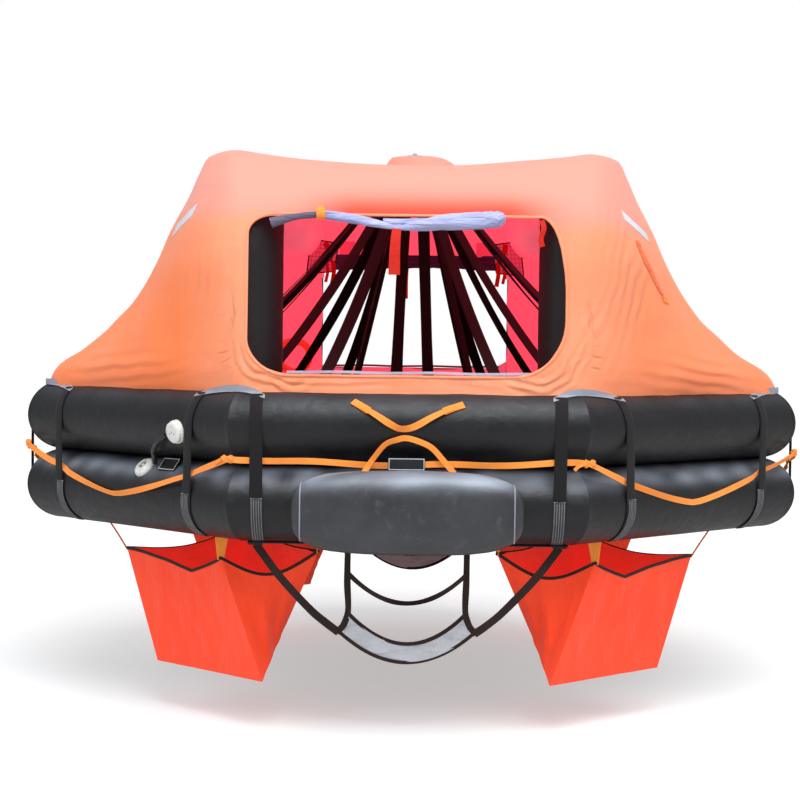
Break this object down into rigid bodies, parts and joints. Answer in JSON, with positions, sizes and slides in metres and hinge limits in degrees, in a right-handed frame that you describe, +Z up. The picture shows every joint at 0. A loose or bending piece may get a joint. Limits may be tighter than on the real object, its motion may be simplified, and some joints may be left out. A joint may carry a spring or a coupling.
{
  "type": "inflatable life raft",
  "caption": "Octagonal inflatable life raft with two stacked buoyancy tubes, a canopy on arch tubes, boarding ramps, webbing ladders and water pockets.",
  "frame": {"origin": "middle of the octagon at the light waterline, 50 mm above the underside of the lower tube", "axes": "+Z up, +Y from the front doorway to the rear doorway, +X to the right seen from the front"},
  "size_m": [3.394, 3.8, 2.2621],
  "materials": {
    "tube_rubber": "satin",
    "canopy_cloth": "matt coated cloth",
    "curtain_cloth": "matt coated cloth",
    "ramp_rubber": "matt",
    "pocket_cloth": "matt coated cloth",
    "orange_webbing": "woven",
    "white_plastic": "satin",
    "label_black": "satin",
    "step_sheet": "matt",
    "steel": "brushed",
    "red_rope": "laid rope",
    "cylinder_paint": "painted",
    "black_webbing": "woven"
  },
  "bodies": {
    "raft": {"arch_left": "tube_rubber", "arch_right": "tube_rubber", "boarding_ramp_front": "ramp_rubber", "boarding_ramp_rear": "ramp_rubber", "bridle_pair_1": "black_webbing", "bridle_pair_2": "black_webbing", "bridle_pair_3": "black_webbing", "bridle_pair_4": "black_webbing", "bridle_pair_5": "black_webbing", "bridle_pair_6": "black_webbing", "bridle_pair_7": "black_webbing", "bridle_pair_8": "black_webbing", "canopy": "canopy_cloth", "corner_straps_1": "black_webbing", "corner_straps_2": "black_webbing", "corner_straps_3": "black_webbing", "corner_straps_4": "black_webbing", "corner_straps_5": "black_webbing", "corner_straps_6": "black_webbing", "corner_straps_7": "black_webbing", "corner_straps_8": "black_webbing", "curtain_roll_front": "curtain_cloth", "curtain_roll_rear": "curtain_cloth", "cylinder_pouch": "black_webbing", "floor": "tube_rubber", "floor_strap_pair_1": "black_webbing", "floor_strap_pair_2": "black_webbing", "floor_strap_pair_3": "black_webbing", "floor_strap_pair_4": "black_webbing", "gas_cylinder": "cylinder_paint", "grab_handle_front": "orange_webbing", "grab_handle_rear": "orange_webbing", "label_plate_front": "label_black", "label_plate_valve": "label_black", "ladder_strip_front": "black_webbing", "ladder_strip_rear": "black_webbing", "lifeline": "orange_webbing", "lifting_plate": "steel", "lower_tube": "tube_rubber", "ramp_handle_front": "orange_webbing", "ramp_handle_rear": "orange_webbing", "relief_valve": "white_plastic", "rescue_quoit": "red_rope", "righting_strap": "black_webbing", "topping_valve": "white_plastic", "upper_tube": "tube_rubber", "valve_hose": "tube_rubber", "water_pocket_1": "pocket_cloth", "water_pocket_2": "pocket_cloth", "water_pocket_3": "pocket_cloth", "water_pocket_4": "pocket_cloth"},
    "front_ladder": {"ladder_front": "black_webbing", "ladder_step_front": "step_sheet"},
    "rear_ladder": {"ladder_rear": "black_webbing", "ladder_step_rear": "step_sheet"},
    "link": {"lifting_link": "steel"}
  },
  "joints": [
    {"name": "ladder_swing_front", "type": "hinge", "parent": "raft", "child": "front_ladder", "pos_m": [0, -1.5375, -0.062], "axis": [-1, 0, 0], "range_deg": [-8, 70]},
    {"name": "ladder_swing_rear", "type": "hinge", "parent": "raft", "child": "rear_ladder", "pos_m": [0, 1.5375, -0.062], "axis": [1, 0, 0], "range_deg": [-8, 70]},
    {"name": "lifting_link_hinge", "type": "hinge", "parent": "raft", "child": "link", "pos_m": [0, -0.03, 1.6293], "axis": [1, 0, 0], "range_deg": [0, 90]}
  ]
}
